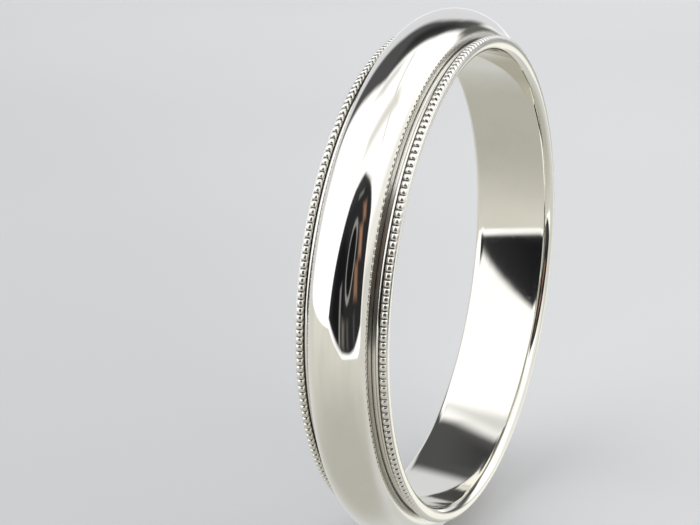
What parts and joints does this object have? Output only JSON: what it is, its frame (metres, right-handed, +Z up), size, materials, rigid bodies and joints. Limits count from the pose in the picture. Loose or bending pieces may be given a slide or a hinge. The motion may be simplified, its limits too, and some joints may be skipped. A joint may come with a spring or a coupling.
{
  "type": "wedding band",
  "caption": "Half-round finger ring in polished white gold with beaded milgrain edges and a comfort-fit bore.",
  "frame": {"origin": "centre of the finger bore, which is also the centre of the ring's box", "axes": "+Z up with the ring upright like a wheel; the finger bore's axis is along +Y, and the front side face looks along -Y"},
  "size_m": [0.0202, 0.0034, 0.0202],
  "materials": {
    "sleeve_gold": "polished white gold",
    "dome_gold": "mirror-polished white gold",
    "shoulder_gold": "polished white gold",
    "milgrain_gold": "polished white gold beads",
    "solder": "unpolished white gold solder"
  },
  "bodies": {
    "root": {"inner_sleeve": "sleeve_gold", "half_round_band": "dome_gold", "front_shoulder_wire": "shoulder_gold", "rear_shoulder_wire": "shoulder_gold", "front_milgrain_wire": "milgrain_gold", "rear_milgrain_wire": "milgrain_gold", "front_dome_solder": "solder", "rear_dome_solder": "solder", "front_milgrain_solder": "solder", "rear_milgrain_solder": "solder"}
  },
  "joints": []
}
